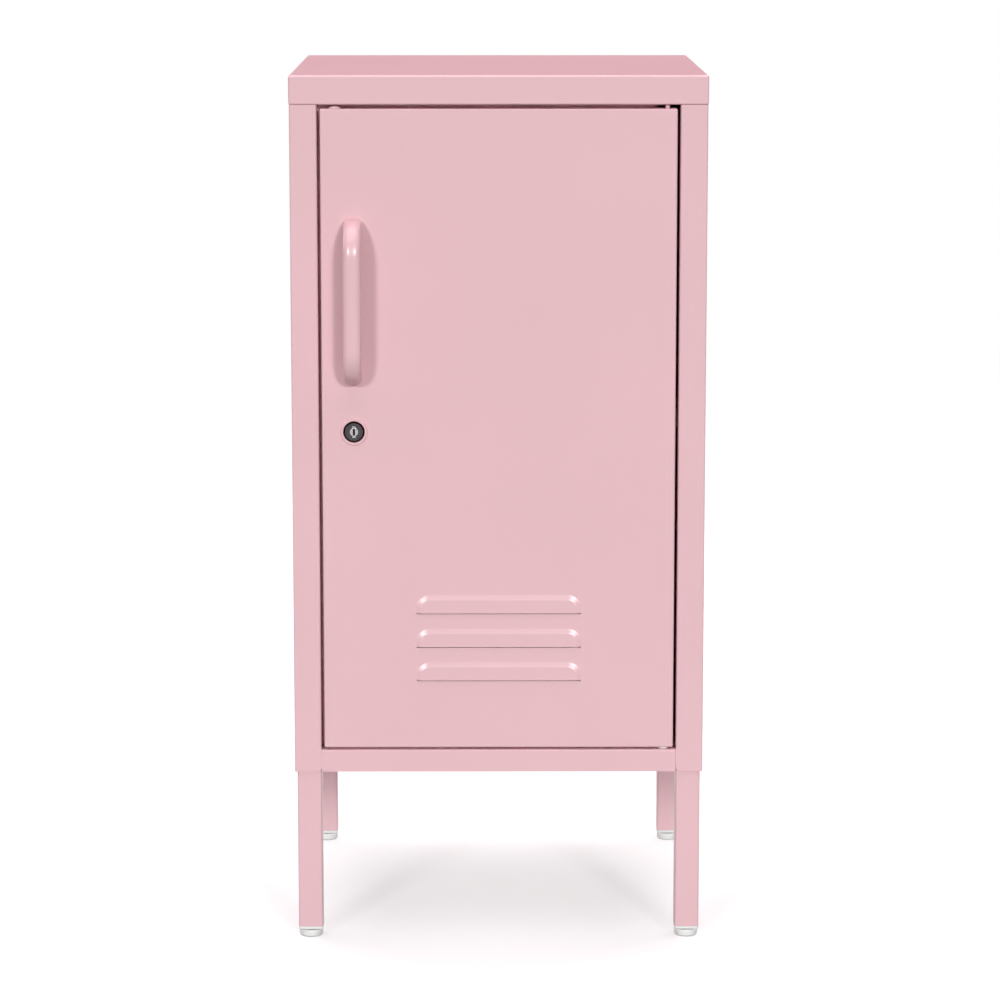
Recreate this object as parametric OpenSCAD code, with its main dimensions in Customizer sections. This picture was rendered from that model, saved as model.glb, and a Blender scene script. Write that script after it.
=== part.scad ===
// Steel locker cabinet with one door, a shelf, a cam lock and four legs on levelling feet.
// Millimetres, +Z up, the door faces -Y. The origin is on the floor, under the middle of the whole.

/* [Case] */
// Width over the two side panels
case_w = 350; // [300:1:420]
// Depth from the front posts' face to the back flanges' face
case_d = 350; // [300:1:420]
// Height of the whole cabinet above the floor
overall_h = 743; // [680:1:860]
// Height of the case's lower edge above the floor
case_z = 148; // [120:1:180]
// Thickness of the sheet steel
sheet_t = 0.8; // [0.6:0.1:1]
// Outside radius of the folds in the sheet
fold_r = 1.6; // [1.3:0.1:2]
// Width of the post that each side panel folds round to the front
post_w = 23; // [21:1:28]
// Depth of the fold behind the hinge-side post
post_fold = 14; // [12:1:15]

/* [Top cover] */
// Height of the cover's rim
cover_h = 24.3; // [20:0.1:32]
// How far the cover stands out past the case on every side
cover_over = 0.4; // [0.2:0.1:1]
// Width of the fold that turns inward along the foot of the rim
cover_fold = 16; // [14:1:20]

/* [Base] */
// Height of the sill under the door
sill_h = 19.4; // [18:0.1:26]
// Radius of the posts' lower inner corners
post_corner_r = 4; // [2:0.5:6]

/* [Door] */
// Gap between the door and each post
door_side_gap = 2.5; // [2:0.1:4]
// Gap between the door and the top cover's rim
door_top_gap = 3.3; // [3:0.1:5]
// Gap between the door and the sill
door_sill_gap = 1.7; // [1.6:0.1:3]
// Depth of the folded door
door_depth = 15; // [14:0.5:15]
// Width of the fold round the back of the door
door_fold = 10; // [8:0.5:11]

/* [Louvres] */
// Number of louvres, one above the other
louvre_count = 3; // [1:1:6]
// Width of a louvre
louvre_w = 142; // [80:1:180]
// Height of a louvre
louvre_h = 15.9; // [13:0.1:20]
// How far a louvre stands out of the door
louvre_proud = 1.5; // [1.2:0.1:6]
// Distance from one louvre to the next
louvre_pitch = 29.2; // [24:0.1:40]
// Height of the lowest louvre's open edge above the floor
louvre_z = 228.3; // [220:0.1:300]
// Height of the sloped band round a louvre
louvre_slope = 4.6; // [3:0.1:8]
// Radius of a louvre's upper corners
louvre_corner_r = 12.5; // [8:0.5:14]

/* [Handle] */
// Width of the bar across the door
bar_w = 15; // [12:0.5:18]
// Thickness of the bar
bar_t = 9.5; // [8:0.5:11]
// Overall height of the handle
handle_h = 140; // [110:1:180]
// Distance from the door's face to the front of the bar
handle_reach = 34; // [34:0.5:50]
// Radius of the bends, at the middle of the bar
handle_bend_r = 26; // [20:0.5:28]
// Distance from the door's lock-side edge to the middle of the bar
handle_inset = 27.1; // [24:0.1:40]
// Height of the handle's middle above the floor
handle_z = 554; // [530:1:600]

/* [Lock] */
// Height of the lock's axis above the floor
lock_z = 443.1; // [420:0.1:460]
// Distance from the lock's axis to the tip of the cam
cam_reach = 40; // [38:0.5:44]
// Thickness of the cam
cam_t = 2; // [1.5:0.1:2.5]

/* [Hinge] */
// Diameter of the hinge pins
pin_d = 4; // [3.5:0.1:5]
// Distance from the door's edge to the hinge axis
pin_inset = 8.3; // [8:0.1:9]
// Distance from the door's face to the hinge axis
pin_depth = 6; // [5.5:0.1:6.5]

/* [Shelf] */
// Height of the shelf's upper face above the floor
shelf_z = 460; // [330:1:560]
// Height of the shelf's front and back flanges
shelf_flange = 18; // [12:1:25]

/* [Legs] */
// Width of the square leg tube
leg_w = 21; // [18:1:22]
// Wall of the leg tube
leg_wall = 1.2; // [1:0.1:2]
// How far a leg stands in from the case's faces
leg_inset = 2; // [2:0.1:4]
// Side of the square plate on top of a leg
plate_w = 60; // [56:1:70]

/* [Feet] */
// Diameter of the glide
glide_d = 20; // [16:0.5:24]
// Height of the glide
glide_h = 6.2; // [5:0.1:8]
// Clear space between the glide and the foot plug when the foot is screwed right in
glide_gap = 1; // [0.5:0.1:2]
// Height of the foot plug's rim under the leg
plug_rim = 2.6; // [2:0.1:4]
// Diameter of the levelling stud
stud_d = 8; // [6:0.5:10]

/* [Wall fixing] */
// Distance between the two holes in the back panel
wall_hole_gap = 200; // [150:1:260]
// Diameter of the two holes in the back panel
wall_hole_d = 6.5; // [5:0.1:8]

/* [Hidden] */
$fn = 64;
CORNERS = ["front_left", "front_right", "rear_left", "rear_right"];

PAINT = [0.91, 0.75, 0.77];
ZINC = [0.72, 0.73, 0.75];
DARK = [0.25, 0.25, 0.26];
SILVER = [0.85, 0.86, 0.88];
NYLON = [0.95, 0.95, 0.93];

lap = 0.1;                 // air between two sheets that lie on each other
fit = 0.05;                // radial clearance of a running or fitted round part
cut = 1;                   // how far a cutter runs past the face that it cuts
screw_head_h = 1.8;        // height of the back panel's screw heads

front_y = (handle_reach - case_d - screw_head_h) / 2;
back_y = front_y + case_d;
mid_y = (front_y + back_y) / 2;
side_x = case_w / 2;
post_x = side_x - post_w;

cover_z = overall_h - cover_h;
panel_top = cover_z - lap;
floor_z = case_z + sill_h;

door_x = post_x - door_side_gap;
door_lo_z = floor_z + door_sill_gap;
door_hi_z = cover_z - door_top_gap;
door_back_y = front_y + door_depth;
stop_y = door_back_y + 0.5;              // front of the lip that stops the door
stop_w = 11;                             // width of that lip
cover_lip_h = 12;                        // drop of the cover's lip behind the door's top edge
cover_lip_end = 9;                       // distance from the hinge pin to that lip's end

buffer_inset = 12.3;                     // from the door's lock-side edge
buffer_r = 5.5;
buffer_h = 2;
buffer_stem_d = 5;
buffer_stem_h = 4;

pin_x = door_x - pin_inset;
pin_y = front_y + pin_depth;
pin_reach = 9;                           // from the door's edge to the pin's end inside it
pin_head_h = 1.5;
hinge_plate_top = cover_z + sheet_t + 1.5;
bush_wall = 1.45;
bush_h = 6.4;
bush_flange_r = 4.3;

hat_half = 18;                           // half the width of the stiffener's crown
hat_foot = 12;
hat_depth = 12;

handle_x = handle_inset - door_x;
bar_out = handle_reach - bar_t / 2;      // from the door's face to the middle of the bar
bar_half = handle_h / 2 - bar_t / 2;     // from the handle's middle to the middle of each foot
handle_screw_d = 4.9;
handle_screw_l = 10;

lock_x = handle_x;
collar_r = 11.4;
collar_base = 0.5;
housing_r = 8;
housing_rim_r = 8.8;
housing_back = 16.5;
plug_r = 6;
plug_face = 1;                           // how far the plug's face stands out of the door
drive_w = 7;                             // square that carries the cam
cam_y = stop_y + sheet_t + 1;            // front of the cam, behind the stop lip
cam_w = 15;
key_slot = [1.6, 5.4];
insert_r = 3.6;
insert_tab = [3, 10.1];
insert_depth = 3;

leg_x = side_x - leg_inset - leg_w;
leg_bottom = glide_h + glide_gap + plug_rim;
plate_t = 2;
plate_z = floor_z - sheet_t - plate_t;
bolt_at = [[46, 32], [32, 46]];          // from the leg's outer corner
bolt_d = 5.9;
nut_w = 10;                              // across the flats
leg_nut_h = 4.4;
stud_top = leg_bottom + 24;
plug_depth = 15;

cover_screw_y = 40;                      // from the front and back faces
cover_screw_d = 3.9;
cover_screw_x = (side_x + post_x) / 2;
back_screw_d = 3.9;
back_screw_rows = 4;
back_screw_from = 60;                    // from the panel's lower and upper edges
rivet_y = [110, 240];                    // from the front face
rivet_d = 4;
rivet_z = case_z + sill_h / 2;
rivet_head_h = 1.2;

shelf_front = front_y + 30;
shelf_back = back_y - 3;
rail_w = 14;
rail_t = 1;

// Points of an arc
function arc(x, y, r, from, to, steps = 4) =
    [for (i = [0:steps]) let (a = from + (to - from) * i / steps) [x + r * cos(a), y + r * sin(a)]];

// Points of a rectangle with round corners
function round_rect(x0, y0, x1, y1, r) = concat(
    arc(x1 - r, y1 - r, r, 0, 90),
    arc(x0 + r, y1 - r, r, 90, 180),
    arc(x0 + r, y0 + r, r, 180, 270),
    arc(x1 - r, y0 + r, r, 270, 360)
);

// Extrusions of an outline drawn in the plane square to X, Y or Z
module along_x(x0, x1) translate([x0, 0, 0]) rotate([90, 0, 90]) linear_extrude(x1 - x0) children();
module along_y(y0, y1) translate([0, y1, 0]) rotate([90, 0, 0]) linear_extrude(y1 - y0) children();
module along_z(z0, z1) translate([0, 0, z0]) linear_extrude(z1 - z0) children();

// A box between two corners
module box(lo, hi) translate(lo) cube(hi - lo);

// A box with every edge rounded, as folded sheet is
module folded_box(lo, hi, r) intersection() {
    along_x(lo.x, hi.x) polygon(round_rect(lo.y, lo.z, hi.y, hi.z, r));
    along_y(lo.y, hi.y) polygon(round_rect(lo.x, lo.z, hi.x, hi.z, r));
    along_z(lo.z, hi.z) polygon(round_rect(lo.x, lo.y, hi.x, hi.y, r));
}

// A hollow box of sheet
module folded_shell(lo, hi, r, t) difference() {
    folded_box(lo, hi, r);
    folded_box(lo + [t, t, t], hi - [t, t, t], r - t);
}

// A round part on the hinge axis, from height z0 to z1
module on_hinge(z0, z1, r) translate([pin_x, pin_y, z0]) cylinder(h = z1 - z0, r = r);

// A round part square to the door, from y0 to y1 behind its face
module round_y(x, z, y0, y1, r)
    translate([x, front_y + y0, z]) rotate([-90, 0, 0]) cylinder(h = y1 - y0, r = r);

// A hexagonal part, w across the flats
module hexagon(w, h) cylinder(h = h, r = w / 2 / cos(30), $fn = 6);

// The front left corner's geometry, carried to any corner
module at_corner(name) {
    right = name == "front_right" || name == "rear_right";
    rear = name == "rear_left" || name == "rear_right";
    translate([0, mid_y, 0])
        mirror(right ? [1, 0, 0] : [0, 0, 0])
            mirror(rear ? [0, 1, 0] : [0, 0, 0])
                translate([0, -mid_y, 0])
                    children();
}

module at_all_corners() for (name = CORNERS) at_corner(name) children();

// Case

module top_cover() color(PAINT) {
    difference() {
        folded_shell(
            [-side_x - cover_over, front_y - cover_over, cover_z],
            [side_x + cover_over, back_y + cover_over, overall_h],
            fold_r, sheet_t
        );
        box(
            [cover_fold - side_x, front_y + cover_fold, cover_z - cut],
            [side_x - cover_fold, back_y - cover_fold, cover_z + sheet_t + fold_r]
        );
        on_hinge(cover_z - cut, cover_z + sheet_t + cut, pin_d / 2 + fit);
        at_all_corners() cover_screw_hole();
    }
    box(
        [stop_w - post_x + 3 * lap, stop_y, cover_z - cover_lip_h],
        [pin_x - cover_lip_end, stop_y + sheet_t, cover_z + sheet_t]
    );
}

module cover_screw_hole()
    translate([-cover_screw_x, front_y + cover_screw_y, panel_top - sheet_t - cut])
        cylinder(h = 2 * sheet_t + lap + 2 * cut, d = cover_screw_d + 4 * fit);

// Left side panel; fold is the depth of the post's fold, and stop adds the lip that stops the door
module side_panel(fold, stop) difference() {
    union() {
        along_z(case_z, panel_top) side_outline(fold);
        along_z(panel_top - sheet_t, panel_top)
            polygon(round_rect(-side_x, front_y, -post_x, back_y, fold_r));
        if (stop)
            box([-post_x - sheet_t, stop_y, floor_z + cut], [stop_w - post_x, stop_y + sheet_t, panel_top]);
    }
    box(
        [-post_x - fold_r, front_y + sheet_t, case_z - cut],
        [cut - post_x, front_y + fold + cut, floor_z + cut]
    );
    along_y(front_y - cut, back_y + cut) post_corner();
    for (y = [cover_screw_y, case_d - cover_screw_y])
        translate([0, y - cover_screw_y, 0]) cover_screw_hole();
    back_screws_at(-1) cylinder(h = 2 * cut + 2 * sheet_t, d = back_screw_d + 4 * fit);
    for (y = rivet_y)
        translate([-side_x - cut, front_y + y, rivet_z]) rotate([0, 90, 0])
            cylinder(h = 2 * cut + sheet_t, d = rivet_d + 2 * fit);
}

module side_outline(fold) difference() {
    polygon(round_rect(-side_x, front_y, -post_x, back_y, fold_r));
    polygon(round_rect(
        sheet_t - side_x, front_y + sheet_t, -post_x - sheet_t, back_y - sheet_t, fold_r - sheet_t
    ));
    translate([-post_x - fold_r, front_y + fold]) square([fold_r + cut, case_d - fold - sheet_t]);
}

// The corner cut off a post's lower inner corner
module post_corner() polygon(concat(
    arc(-post_x - post_corner_r, case_z + post_corner_r, post_corner_r, 0, -90),
    [
        [-post_x - post_corner_r, case_z - cut],
        [cut - post_x, case_z - cut],
        [cut - post_x, case_z + post_corner_r]
    ]
));

module left_side_panel() color(PAINT) side_panel(stop_y + sheet_t - front_y, true);
module right_side_panel() color(PAINT) mirror([1, 0, 0]) side_panel(post_fold, false);

// Places for the back panel's screws down one side, each pointing back
module back_screws_at(side) {
    low = floor_z + back_screw_from;
    step = (panel_top - back_screw_from - low) / (back_screw_rows - 1);
    for (i = [0:back_screw_rows - 1])
        translate([side * cover_screw_x, back_y + cut, low + i * step]) rotate([90, 0, 0]) children();
}

module back_panel() color(PAINT) difference() {
    box(
        [fold_r + lap - side_x, back_y - 2 * sheet_t - lap, floor_z + lap],
        [side_x - fold_r - lap, back_y - sheet_t - lap, panel_top - sheet_t - lap]
    );
    for (side = [-1, 1])
        back_screws_at(side) cylinder(h = 2 * cut + 3 * sheet_t, d = back_screw_d + 4 * fit);
    for (side = [-1, 1])
        translate([side * wall_hole_gap / 2, back_y, overall_h - 60]) rotate([90, 0, 0])
            cylinder(h = 3 * sheet_t, d = wall_hole_d);
}

// Outline of the bottom panel: as wide as the sill at the front and back, and between the sides elsewhere
module bottom_outline(inset) {
    sill_x = post_x - 3 * lap - inset;
    wide_x = side_x - sheet_t - lap - inset;
    tuck = sheet_t + lap + inset;
    translate([-sill_x, front_y + inset]) square([2 * sill_x, case_d - 2 * inset]);
    polygon(round_rect(-wide_x, front_y + tuck, wide_x, back_y - tuck, max(fold_r - tuck, 0.1)));
}

module bottom_panel() color(PAINT) difference() {
    along_z(case_z + lap, floor_z) bottom_outline(0);
    along_z(case_z - cut, floor_z - sheet_t) bottom_outline(sheet_t);
    on_hinge(floor_z - sheet_t - cut, floor_z + cut, pin_d / 2 + fit);
    at_all_corners() bolt_holes();
    for (y = rivet_y)
        translate([-side_x, front_y + y, rivet_z]) rotate([0, 90, 0])
            cylinder(h = case_w, d = rivet_d + 2 * fit);
}

module base_rivets() color(ZINC) for (side = [0, 1], y = rivet_y) mirror([side, 0, 0])
    translate([lap - side_x, front_y + y, rivet_z]) rotate([0, 90, 0]) {
        cylinder(h = 2 * sheet_t, d = rivet_d);
        translate([0, 0, 2 * sheet_t]) cylinder(h = rivet_head_h, d = 2 * rivet_d);
    }

// Shelf

module shelf() color(PAINT) difference() {
    lo = [3 * lap + rail_t + sheet_t - side_x, shelf_front, shelf_z - shelf_flange];
    hi = [side_x - sheet_t - rail_t - 3 * lap, shelf_back, shelf_z];
    along_x(lo.x, hi.x) polygon(round_rect(lo.y, lo.z, hi.y, hi.z, fold_r));
    along_x(lo.x - cut, hi.x + cut) polygon(round_rect(
        lo.y + sheet_t, lo.z + sheet_t, hi.y - sheet_t, hi.z - sheet_t, fold_r - sheet_t
    ));
    box([lo.x - cut, lo.y + 10, lo.z - cut], [hi.x + cut, hi.y - 10, lo.z + sheet_t + fold_r]);
    for (end = [0, 1]) mirror([end, 0, 0])
        box([lo.x - cut, lo.y - cut, lo.z - cut], [lo.x + rail_w + 2, hi.y + cut, hi.z - sheet_t]);
}

module shelf_rail() {
    x = sheet_t + lap - side_x;
    top = shelf_z - sheet_t - lap;
    box([x, shelf_front + 4, top - rail_w], [x + rail_t, shelf_back - 4, top]);
    box([x, shelf_front + 4, top - rail_t], [x + rail_w, shelf_back - 4, top]);
}

module shelf_rail_left() color(PAINT) shelf_rail();
module shelf_rail_right() color(PAINT) mirror([1, 0, 0]) shelf_rail();

// Legs and feet

module bolt_holes()
    for (at = bolt_at)
        translate([leg_inset - side_x + at.x, front_y + leg_inset + at.y, plate_z - cut])
            cylinder(h = plate_t + sheet_t + 2 * cut, d = bolt_d + 0.5);

module leg() {
    x = leg_inset - side_x;
    y = front_y + leg_inset;
    along_z(leg_bottom, plate_z) difference() {
        polygon(round_rect(x, y, x + leg_w, y + leg_w, 2));
        polygon(round_rect(x + leg_wall, y + leg_wall, x + leg_w - leg_wall, y + leg_w - leg_wall, 0.8));
    }
    difference() {
        along_z(plate_z, plate_z + plate_t - lap) polygon(round_rect(x, y, x + plate_w, y + plate_w, 3));
        bolt_holes();
    }
}

module foot_at() translate([-leg_x - leg_w / 2, front_y + leg_inset + leg_w / 2, 0]) children();

module foot_plug() foot_at() difference() {
    rim = leg_w / 2;
    body = leg_w / 2 - leg_wall - lap;
    union() {
        along_z(leg_bottom - plug_rim, leg_bottom) polygon(round_rect(-rim, -rim, rim, rim, 2));
        along_z(leg_bottom, leg_bottom + plug_depth) polygon(round_rect(-body, -body, body, body, 0.8));
    }
    translate([0, 0, leg_bottom - plug_rim - cut])
        cylinder(h = plug_rim + plug_depth + 2 * cut, d = stud_d + 2 * fit);
}

module foot_stud() foot_at() translate([0, 0, 2]) cylinder(h = stud_top - 2, d = stud_d);

module foot_glide() foot_at() rotate_extrude() polygon(concat(
    [[0, 0]],
    arc(glide_d / 2 - 1.6, 1.6, 1.6, -90, 0),
    arc(glide_d / 2 - 0.8, glide_h - 0.8, 0.8, 0, 90),
    [[stud_d / 2, glide_h], [stud_d / 2, 2], [0, 2]]
));

module leg_front_left() color(PAINT) at_corner("front_left") leg();
module leg_front_right() color(PAINT) at_corner("front_right") leg();
module leg_rear_left() color(PAINT) at_corner("rear_left") leg();
module leg_rear_right() color(PAINT) at_corner("rear_right") leg();
module foot_plug_front_left() color(NYLON) at_corner("front_left") foot_plug();
module foot_plug_front_right() color(NYLON) at_corner("front_right") foot_plug();
module foot_plug_rear_left() color(NYLON) at_corner("rear_left") foot_plug();
module foot_plug_rear_right() color(NYLON) at_corner("rear_right") foot_plug();
module foot_stud_front_left() color(ZINC) at_corner("front_left") foot_stud();
module foot_stud_front_right() color(ZINC) at_corner("front_right") foot_stud();
module foot_stud_rear_left() color(ZINC) at_corner("rear_left") foot_stud();
module foot_stud_rear_right() color(ZINC) at_corner("rear_right") foot_stud();
module foot_glide_front_left() color(NYLON) at_corner("front_left") foot_glide();
module foot_glide_front_right() color(NYLON) at_corner("front_right") foot_glide();
module foot_glide_rear_left() color(NYLON) at_corner("rear_left") foot_glide();
module foot_glide_rear_right() color(NYLON) at_corner("rear_right") foot_glide();

// Fasteners

module leg_bolts() color(ZINC) at_all_corners() for (at = bolt_at)
    translate([leg_inset - side_x + at.x, front_y + leg_inset + at.y, plate_z]) {
        translate([0, 0, -4]) hexagon(nut_w, 4);
        cylinder(h = plate_t + sheet_t + leg_nut_h + 1, d = bolt_d);
    }

module leg_nuts() color(ZINC) at_all_corners() for (at = bolt_at)
    translate([leg_inset - side_x + at.x, front_y + leg_inset + at.y, floor_z]) difference() {
        hexagon(nut_w, leg_nut_h);
        translate([0, 0, -cut]) cylinder(h = leg_nut_h + 2 * cut, d = bolt_d + 2 * fit);
    }

module top_cover_screws() color(ZINC) at_all_corners()
    translate([-cover_screw_x, front_y + cover_screw_y, panel_top - sheet_t]) {
        translate([0, 0, -2.4]) cylinder(h = 2.4, d = 7.6);
        cylinder(h = 9, d = cover_screw_d);
    }

module top_cover_nuts() color(ZINC) at_all_corners()
    translate([-cover_screw_x, front_y + cover_screw_y, cover_z + sheet_t]) difference() {
        hexagon(7, 3.2);
        translate([0, 0, -cut]) cylinder(h = 3.2 + 2 * cut, d = cover_screw_d + 2 * fit);
    }

module back_panel_screws() color(ZINC) for (side = [-1, 1]) back_screws_at(side) {
    translate([0, 0, cut - screw_head_h]) cylinder(h = screw_head_h, d = 7.6);
    cylinder(h = cut + 8, d = back_screw_d);
}

// Hinge

module upper_hinge_plate() color(ZINC) difference() {
    box(
        [pin_x - 12, front_y + 2, cover_z + sheet_t],
        [pin_x + 12, front_y + cover_fold - 1, hinge_plate_top]
    );
    on_hinge(cover_z, hinge_plate_top + cut, pin_d / 2 + fit);
}

module upper_hinge_pin() color(ZINC) {
    on_hinge(door_hi_z - pin_reach, hinge_plate_top, pin_d / 2);
    on_hinge(hinge_plate_top, hinge_plate_top + pin_head_h, pin_d);
}

module lower_hinge_pin() color(ZINC) on_hinge(floor_z - sheet_t, door_lo_z + pin_reach, pin_d / 2);

// A flanged bush in the door's edge; z0 to z1 is its body, f0 to f1 its flange
module bush(z0, z1, f0, f1, flange_r) difference() {
    union() {
        on_hinge(z0, z1, pin_d / 2 + bush_wall);
        on_hinge(f0, f1, flange_r);
    }
    on_hinge(z0 - 2 * cut, z1 + 2 * cut, pin_d / 2 + fit);
}

module upper_hinge_bush() color(NYLON)
    bush(door_hi_z - bush_h, door_hi_z, door_hi_z - sheet_t - 1.5, door_hi_z - sheet_t, bush_flange_r);

module lower_hinge_bush() color(NYLON)
    bush(door_lo_z, door_lo_z + bush_h, floor_z + 0.3, door_lo_z, pin_d / 2 + bush_wall + 0.8);

// Door

module door_panel() color(PAINT) difference() {
    union() {
        folded_shell([-door_x, front_y, door_lo_z], [door_x, door_back_y, door_hi_z], fold_r, sheet_t);
        louvres(0);
    }
    box(
        [door_fold - door_x, front_y + door_depth / 2, door_lo_z + door_fold],
        [door_x - door_fold, door_back_y + cut, door_hi_z - door_fold]
    );
    louvres(sheet_t);
    on_hinge(door_lo_z - cut, door_lo_z + sheet_t + cut, pin_d / 2 + bush_wall + fit);
    on_hinge(door_hi_z - sheet_t - cut, door_hi_z + cut, pin_d / 2 + bush_wall + fit);
    buffer_at() translate([0, 0, -sheet_t - cut])
        cylinder(h = sheet_t + 2 * cut, d = buffer_stem_d + 2 * fit);
    round_y(lock_x, lock_z, -cut, sheet_t + cut, housing_r + 4 * fit);
    for (end = [-1, 1])
        round_y(handle_x, handle_z + end * bar_half, -cut, sheet_t + cut, handle_screw_d / 2 + 4 * fit);
}

module louvres(inset) for (i = [0:louvre_count - 1])
    translate([0, 0, louvre_z + i * louvre_pitch]) louvre(inset);

// One louvre above height 0: the outside with no inset, or the hollow behind it with the sheet's thickness
module louvre(inset) {
    half_w = louvre_w / 2 - inset;
    top = louvre_h - inset;
    out = front_y - louvre_proud + inset;
    low = inset > 0 ? -cut : 0;
    back = front_y + (inset > 0 ? sheet_t + cut : sheet_t / 2);
    intersection() {
        along_x(-half_w, half_w)
            polygon([[back, low], [out, low], [out, top - louvre_slope], [front_y, top], [back, top]]);
        along_z(low, top) polygon([
            [-half_w, back], [-half_w, front_y], [louvre_slope - half_w, out],
            [half_w - louvre_slope, out], [half_w, front_y], [half_w, back]
        ]);
        along_y(out - cut, back) polygon(concat(
            arc(half_w - louvre_corner_r, top - louvre_corner_r, louvre_corner_r, 0, 90, 8),
            arc(louvre_corner_r - half_w, top - louvre_corner_r, louvre_corner_r, 90, 180, 8),
            [[-half_w, low], [half_w, low]]
        ));
    }
}

// Hat-section channel welded behind the door's sheet, above the louvres
module door_stiffener() color(PAINT) {
    y = front_y + sheet_t + lap;
    along_z(louvre_z + louvre_count * louvre_pitch + 12, door_hi_z - 18) {
        for (side = [0, 1]) mirror([side, 0]) {
            translate([-hat_half - hat_foot, y]) square([hat_foot, sheet_t]);
            translate([-hat_half, y]) square([sheet_t, hat_depth]);
        }
        translate([-hat_half, y + hat_depth - sheet_t]) square([2 * hat_half, sheet_t]);
    }
}

module buffer_at() translate([buffer_inset - door_x, front_y + door_depth / 2, door_hi_z]) children();

// Dome buffer pushed into the door's top edge
module door_buffer() color(NYLON) buffer_at() {
    ball_r = (buffer_r * buffer_r + buffer_h * buffer_h) / (2 * buffer_h);
    intersection() {
        translate([0, 0, buffer_h - ball_r]) sphere(ball_r);
        cylinder(h = buffer_h, r = buffer_r);
    }
    translate([0, 0, -buffer_stem_h]) cylinder(h = buffer_stem_h, d = buffer_stem_d);
}

// Section of the handle's bar: flat in front and behind, round at the edges
module bar_section() {
    for (side = [-1, 1]) translate([side * (bar_w - bar_t) / 2, 0]) circle(d = bar_t);
    square([bar_w - bar_t, bar_t], center = true);
}

module door_handle() color(PAINT) difference() {
    translate([handle_x, front_y, handle_z]) {
        straight = bar_half - handle_bend_r;
        translate([0, -bar_out, -straight]) linear_extrude(2 * straight) bar_section();
        for (end = [0, 1]) mirror([0, 0, end]) {
            translate([0, handle_bend_r - bar_out, straight]) rotate([90, 0, -90])
                rotate_extrude(angle = 90) translate([handle_bend_r, 0]) rotate(90) bar_section();
            translate([0, 0, bar_half]) rotate([90, 0, 0])
                linear_extrude(bar_out - handle_bend_r) bar_section();
        }
    }
    for (end = [-1, 1])
        round_y(handle_x, handle_z + end * bar_half, -handle_screw_l - cut, cut, handle_screw_d / 2 + fit);
}

module handle_screws() color(ZINC) for (end = [-1, 1]) {
    round_y(handle_x, handle_z + end * bar_half, -handle_screw_l, sheet_t, handle_screw_d / 2);
    round_y(handle_x, handle_z + end * bar_half, sheet_t, sheet_t + 2.5, 4.5);
}

// Lock

// A turned lock part; its outline is drawn as radius and depth behind the door's face
module turned() translate([lock_x, front_y, lock_z]) rotate([-90, 0, 0]) rotate_extrude() children();

// An extruded lock part, from y0 to y1 behind the door's face, its outline drawn in X and Z
module lock_prism(y0, y1) translate([lock_x, 0, lock_z]) along_y(front_y + y0, front_y + y1) children();

module lock_collar() color(PAINT) turned() polygon([
    [housing_r + fit, 0], [collar_r, 0], [collar_r, -1], [collar_r - 0.4, -1.4],
    [housing_rim_r + 0.6, -1.4], [housing_rim_r + 0.3, -1.1], [housing_rim_r + 0.3, -collar_base],
    [housing_r + fit, -collar_base]
]);

module lock_housing() color(DARK) turned() polygon([
    [plug_r + fit, -1.1], [housing_rim_r, -1.1], [housing_rim_r, -collar_base], [housing_r, -collar_base],
    [housing_r, housing_back], [plug_r + fit, housing_back]
]);

module lock_nut() color(ZINC) difference() {
    translate([lock_x, front_y + sheet_t, lock_z]) rotate([-90, 0, 0]) hexagon(22, 4);
    round_y(lock_x, lock_z, 0, 4 + 2 * cut, housing_r + fit);
}

module insert_outline(extra) {
    circle(insert_r + extra);
    square(insert_tab + 2 * [extra, extra], center = true);
}

module lock_plug() color(DARK) difference() {
    union() {
        round_y(lock_x, lock_z, -plug_face, housing_back + 2 * fit, plug_r);
        lock_prism(housing_back, cam_y + cam_t - front_y) square(drive_w, center = true);
    }
    lock_prism(-plug_face - cut, insert_depth - plug_face) insert_outline(fit);
    lock_prism(0, 11) square(key_slot, center = true);
    round_y(lock_x, lock_z, 12, cam_y + cam_t + cut - front_y, 2);
}

module lock_key_insert() color(SILVER) lock_prism(-plug_face, insert_depth - plug_face) difference() {
    insert_outline(0);
    square(key_slot, center = true);
}

module lock_cam() color(ZINC) lock_prism(cam_y - front_y, cam_y + cam_t - front_y) difference() {
    tip = cam_reach - cam_w / 2;
    union() {
        circle(d = cam_w);
        translate([-cam_w / 2, 0]) square([cam_w, tip]);
        translate([0, tip]) circle(d = cam_w);
    }
    square(drive_w + 2 * fit, center = true);
}

module lock_cam_screw() color(ZINC) {
    end = cam_y + cam_t - front_y;
    round_y(lock_x, lock_z, 13, end, 2 - fit);
    round_y(lock_x, lock_z, end, end + 2.4, 5);
}

top_cover();
left_side_panel();
right_side_panel();
back_panel();
bottom_panel();
shelf();
shelf_rail_left();
shelf_rail_right();
leg_front_left();
leg_front_right();
leg_rear_left();
leg_rear_right();
foot_plug_front_left();
foot_plug_front_right();
foot_plug_rear_left();
foot_plug_rear_right();
foot_stud_front_left();
foot_stud_front_right();
foot_stud_rear_left();
foot_stud_rear_right();
foot_glide_front_left();
foot_glide_front_right();
foot_glide_rear_left();
foot_glide_rear_right();
leg_bolts();
leg_nuts();
top_cover_screws();
top_cover_nuts();
back_panel_screws();
base_rivets();
upper_hinge_plate();
upper_hinge_pin();
lower_hinge_pin();
door_panel();
door_stiffener();
door_buffer();
upper_hinge_bush();
lower_hinge_bush();
door_handle();
handle_screws();
lock_collar();
lock_housing();
lock_nut();
lock_plug();
lock_key_insert();
lock_cam();
lock_cam_screw();
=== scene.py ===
"""Looks of the locker cabinet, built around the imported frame. Lengths are in mm until a mesh is made."""
import math

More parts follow.
